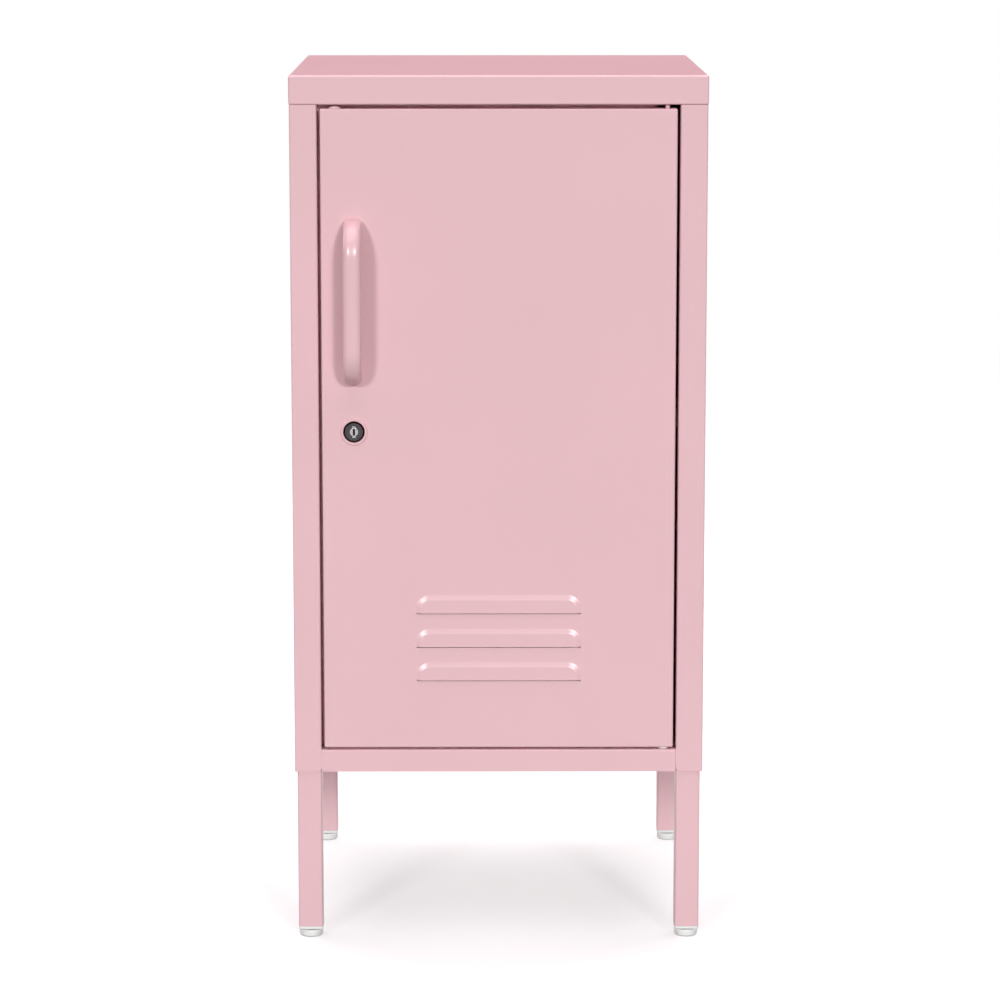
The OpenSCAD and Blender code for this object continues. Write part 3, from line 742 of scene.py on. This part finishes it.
def foot(corner):
    plug_lo, plug_hi = mm_box(f"foot_plug_{corner}")
    glide_lo, glide_hi = mm_box(f"foot_glide_{corner}")
    stud_lo, stud_hi = mm_box(f"foot_stud_{corner}")
    cx, cy = (plug_lo.x + plug_hi.x) / 2, (plug_lo.y + plug_hi.y) / 2
    half = (plug_hi.x - plug_lo.x) / 2
    body = f"foot_{corner}"
    # Round the rim's lower edge, up its side, and up the shank inside the leg
    profile = ((1.1, 0), (0.45, 0.12), (0.12, 0.45), (0.0, 1.1), (0.0, PLUG_RIM))
    rings = [
        square_ring(cx, cy, plug_lo.z + z, half - inset, max(0.6, LEG_R - inset * 0.6))
        for inset, z in profile
    ]
    rings += [
        square_ring(cx, cy, plug_lo.z + z, half - LEG_WALL - LAP, INNER_R)
        for z in (PLUG_RIM, plug_hi.z - plug_lo.z)
    ]

    def bore(z):
        """A ring round the stud's hole, point for point with the square rings."""
        angles = [math.atan2(y, x) for x, y, _ in square_ring(0, 0, z, half, LEG_R)]
        return [(cx + PLUG_BORE_R * math.cos(a), cy + PLUG_BORE_R * math.sin(a), z) for a in angles]

    s = Surface()
    s.rings([bore(plug_lo.z)] + rings + [bore(plug_hi.z), bore(plug_lo.z)])
    replaced = [f"foot_plug_{corner}"]
    piece(f"foot_plug_shell_{corner}", s, NYLON, "cabinet", "white_nylon", replaced, outward=True)

    def place(x, y, z):
        return (cx + x, cy + y, z)

    g = Surface()
    radius = (glide_hi.x - glide_lo.x) / 2
    top = glide_hi.z
    outline = [(0.0, 0.0), (radius - 4, 0.0)] + arc(radius - 2.2, 2.2, 2.2, -90, -12, 8)
    outline += arc(radius - 1.1, top - 1.1, 1.1, 0, 90, 6)
    outline += [(4.6, top), (4.1, top - 0.4), (4.0, 2.0), (0.0, 2.0)]
    spin(g, outline, place)
    replaced = [f"foot_glide_{corner}"]
    piece(f"foot_glide_disc_{corner}", g, NYLON, body, "white_nylon", replaced, outward=True)

    t = Surface()
    root = STUD_R - STUD_DEPTH
    outline = [(0.0, stud_lo.z), (STUD_R - 0.6, stud_lo.z)]
    z = stud_lo.z + 0.6
    while z + STUD_PITCH < stud_hi.z - 0.8:
        outline += [(STUD_R, z), (STUD_R, z + 0.15), (root, z + 0.6), (root, z + 0.75)]
        z += STUD_PITCH
    outline += [(STUD_R, z), (STUD_R - 0.8, stud_hi.z), (0.0, stud_hi.z)]
    spin(t, outline, place, 32)
    replaced = [f"foot_stud_{corner}"]
    piece(f"foot_stud_thread_{corner}", t, ZINC, body, "zinc_steel", replaced, outward=True)


# ---------------------------------------------------------------- lock

def on_lock(x, z, y):
    """Puts a turned lock part's point in the frame; y is depth behind the door's face."""
    return (lock_x + x, front_y + y, lock_z + z)


def lock():
    """The collar pressed in the door and the housing in it; outlines are (radius, depth)."""
    collar = Surface()
    outline = (
        [(8.05, 0.0), (11.4, 0.0), (11.4, -0.7)] + arc(10.7, -0.75, 0.68, 0, -90, 5)
        + arc(9.65, -1.0, 0.42, -90, -180, 4) + [(9.15, -0.04), (8.05, -0.04), (8.05, 0.0)]
    )
    spin(collar, outline, on_lock, 96)
    piece("lock_collar_ring", collar, PAINT, "door", "body_paint", ["lock_collar"], outward=True)
    housing = Surface()
    outline = [(6.05, -0.7)] + arc(6.4, -0.75, 0.35, 180, 270, 4) + arc(7.3, -0.75, 0.35, -90, 0, 4)
    # the thin flange out to 9.0 mm lines the groove round the face; the material paints it near-black as
    # painted shade
    outline += [(7.7, -0.2), (9.0, -0.14), (9.0, -0.06), (8.0, -0.06)]
    outline += [(8.0, 16.5), (6.05, 16.5), (6.05, -0.7)]
    spin(housing, outline, on_lock, 96)
    piece("lock_housing_barrel", housing, CAST, "door", "lock_body", ["lock_housing"], outward=True)


# ---------------------------------------------------------------- the rest of the frame

# CAD node, piece, material, body, slot, width of the rounded edges, and their steps where not 2
SMALL_PARTS = (
    ("lock_plug", "lock_plug_core", CAST, "lock", "lock_body", 0.12),
    ("lock_key_insert", "lock_key_face", BRIGHT, "lock", "lock_insert", 0.3, 3),
    ("lock_cam", "lock_cam_plate", ZINC, "lock", "zinc_steel", 0.3),
    ("lock_cam_screw", "lock_cam_bolt", ZINC, "lock", "zinc_steel", 0.3),
    ("lock_nut", "lock_hex_nut", ZINC, "door", "zinc_steel", 0.3),
    ("leg_bolts", "leg_hex_bolts", ZINC, "cabinet", "zinc_steel", 0.3),
    ("leg_nuts", "leg_hex_nuts", ZINC, "cabinet", "zinc_steel", 0.3),
    ("top_cover_screws", "cover_screws", ZINC, "cabinet", "zinc_steel", 0.5),
    ("top_cover_nuts", "cover_nuts", ZINC, "cabinet", "zinc_steel", 0.25),
    ("back_panel_screws", "back_screws", ZINC, "cabinet", "zinc_steel", 0.5, 3),
    ("base_rivets", "base_rivet_heads", ZINC, "cabinet", "zinc_steel", 0.4),
    ("upper_hinge_plate", "hinge_plate", ZINC, "cabinet", "zinc_steel", 0.2),
    ("upper_hinge_pin", "hinge_pin_top", PAINT, "cabinet", "body_paint", 0.3),
    ("lower_hinge_pin", "hinge_pin_bottom", PAINT, "cabinet", "body_paint", 0.3),
    ("handle_screws", "handle_fixing_screws", ZINC, "door", "zinc_steel", 0.4),
    ("upper_hinge_bush", "hinge_bush_top", NYLON, "door", "white_nylon", 0.2),
    ("lower_hinge_bush", "hinge_bush_bottom", NYLON, "door", "white_nylon", 0.2),
    ("door_buffer", "door_dome_buffer", BUFFER, "door", "buffer_plastic", 0.15),
    ("door_stiffener", "door_hat_channel", PAINT, "door", "body_paint", 0.25),
    ("shelf_rail_left", "shelf_angle_left", PAINT, "cabinet", "body_paint", 0.25),
    ("shelf_rail_right", "shelf_angle_right", PAINT, "cabinet", "body_paint", 0.25),
    ("back_panel", "back_sheet", PAINT, "cabinet", "body_paint", 0.2),
)


# ---------------------------------------------------------------- studio

def stand_camera():
    """The camera stands in front, a little above the cabinet, and looks slightly down."""
    data = bpy.data.cameras.new("camera")
    data.sensor_width = 36
    data.lens = 132.93
    data.clip_end = 200
    made = bpy.data.objects.new("camera", data)
    bpy.context.scene.collection.objects.link(made)
    made.location = Vector((-12.7, front_y - 3088.7, 908.4)) * MM
    made.rotation_euler = (math.radians(90 - 9.624), 0, math.radians(-0.256))
    bpy.context.scene.camera = made


def sun(name, azimuth, elevation, strength, size, colour):
    """A soft light far away. Azimuth 0 is in front of the door and grows to the right."""
    data = bpy.data.lights.new(name, "SUN")
    data.energy = math.pi * strength
    data.angle = math.radians(size)
    data.color = colour
    made = bpy.data.objects.new(name, data)
    bpy.context.scene.collection.objects.link(made)
    a, e = math.radians(azimuth), math.radians(elevation)
    towards = Vector((math.sin(a) * math.cos(e), -math.cos(a) * math.cos(e), math.sin(e)))
    made.rotation_euler = towards.to_track_quat("Z", "Y").to_euler()


def studio():
    world = bpy.data.worlds.new("studio")
    bpy.context.scene.world = world
    world.use_nodes = True
    background = world.node_tree.nodes["Background"]
    background.inputs["Color"].default_value = (1.0, 0.86, 0.88, 1)
    background.inputs["Strength"].default_value = 0.03
    front = (0.965, 1.0, 0.995)
    soft = (1.0, 0.88, 0.92)
    sun("light_right", 18, 16.5, 0.422, 9, front)
    sun("light_left", -22, 16.5, 0.355, 9, front)
    sun("light_above", 0, 80, 0.44, 60, soft)
    sun("light_behind", 180, 66, 0.52, 50, soft)
    sun("light_side_right", 118, 22, 0.26, 40, soft)
    sun("light_side_left", -118, 22, 0.26, 40, soft)
    sun("light_from_floor", 0, -35, 0.09, 90, soft)
    floor_and_background()
    bpy.context.scene.view_settings.view_transform = "Standard"


def flat_white(name):
    """A material that shines white by itself, and its node tree, emission and output."""
    material = bpy.data.materials.new(name)
    material.use_nodes = True
    tree = material.node_tree
    tree.nodes.clear()
    output = tree.nodes.new("ShaderNodeOutputMaterial")
    light = tree.nodes.new("ShaderNodeEmission")
    light.inputs["Strength"].default_value = 1.0
    tree.links.new(light.outputs["Emission"], output.inputs["Surface"])
    return material, tree, light, output


def floor_and_background():
    """A pale floor that fades into a white room. Neither adds light to the cabinet."""
    radius = 12.0
    points = 96
    mesh = bpy.data.meshes.new("floor")
    angles = [math.tau * i / points for i in range(points)]
    ring = [(radius * math.cos(a), radius * math.sin(a), 0) for a in angles]
    mesh.from_pydata(ring, [], [list(range(points))])
    floor = bpy.data.objects.new("floor", mesh)
    bpy.context.scene.collection.objects.link(floor)
    material, tree, light, output = flat_white("floor_paper")
    diffuse = tree.nodes.new("ShaderNodeBsdfDiffuse")
    diffuse.inputs["Color"].default_value = (0.56, 0.555, 0.555, 1)
    glow = tree.nodes.new("ShaderNodeEmission")
    glow.inputs["Strength"].default_value = 0.55
    near = tree.nodes.new("ShaderNodeAddShader")
    tree.links.new(diffuse.outputs[0], near.inputs[0])
    tree.links.new(glow.outputs[0], near.inputs[1])
    coords = tree.nodes.new("ShaderNodeTexCoord")
    length = tree.nodes.new("ShaderNodeVectorMath")
    length.operation = "LENGTH"
    tree.links.new(coords.outputs["Object"], length.inputs[0])
    fade = tree.nodes.new("ShaderNodeMapRange")
    fade.interpolation_type = "SMOOTHSTEP"
    fade.inputs["From Min"].default_value = 0.8
    fade.inputs["From Max"].default_value = 4.0
    tree.links.new(length.outputs["Value"], fade.inputs["Value"])
    mix = tree.nodes.new("ShaderNodeMixShader")
    tree.links.new(fade.outputs["Result"], mix.inputs[0])
    tree.links.new(near.outputs[0], mix.inputs[1])
    tree.links.new(light.outputs[0], mix.inputs[2])
    tree.links.new(mix.outputs[0], output.inputs["Surface"])
    mesh.materials.append(material)
    room_mesh = bpy.data.meshes.new("room")
    bm = bmesh.new()
    bmesh.ops.create_uvsphere(bm, u_segments=48, v_segments=24, radius=40)
    bm.to_mesh(room_mesh)
    bm.free()
    room = bpy.data.objects.new("room", room_mesh)
    bpy.context.scene.collection.objects.link(room)
    room_mesh.materials.append(flat_white("room_white")[0])
    for stage in (floor, room):
        stage.visible_diffuse = False
        stage.visible_shadow = False
        stage.visible_transmission = False
    room.visible_glossy = False


stand_camera()
studio()
top_cover()
side_panel(-1)
side_panel(1)
bottom_panel()
shelf()
door()
handle()
for corner, (sx, sy) in CORNERS.items():
    leg(corner, sx, sy)
    foot(corner)
lock()
for small_part in SMALL_PARTS:
    softened(*small_part)
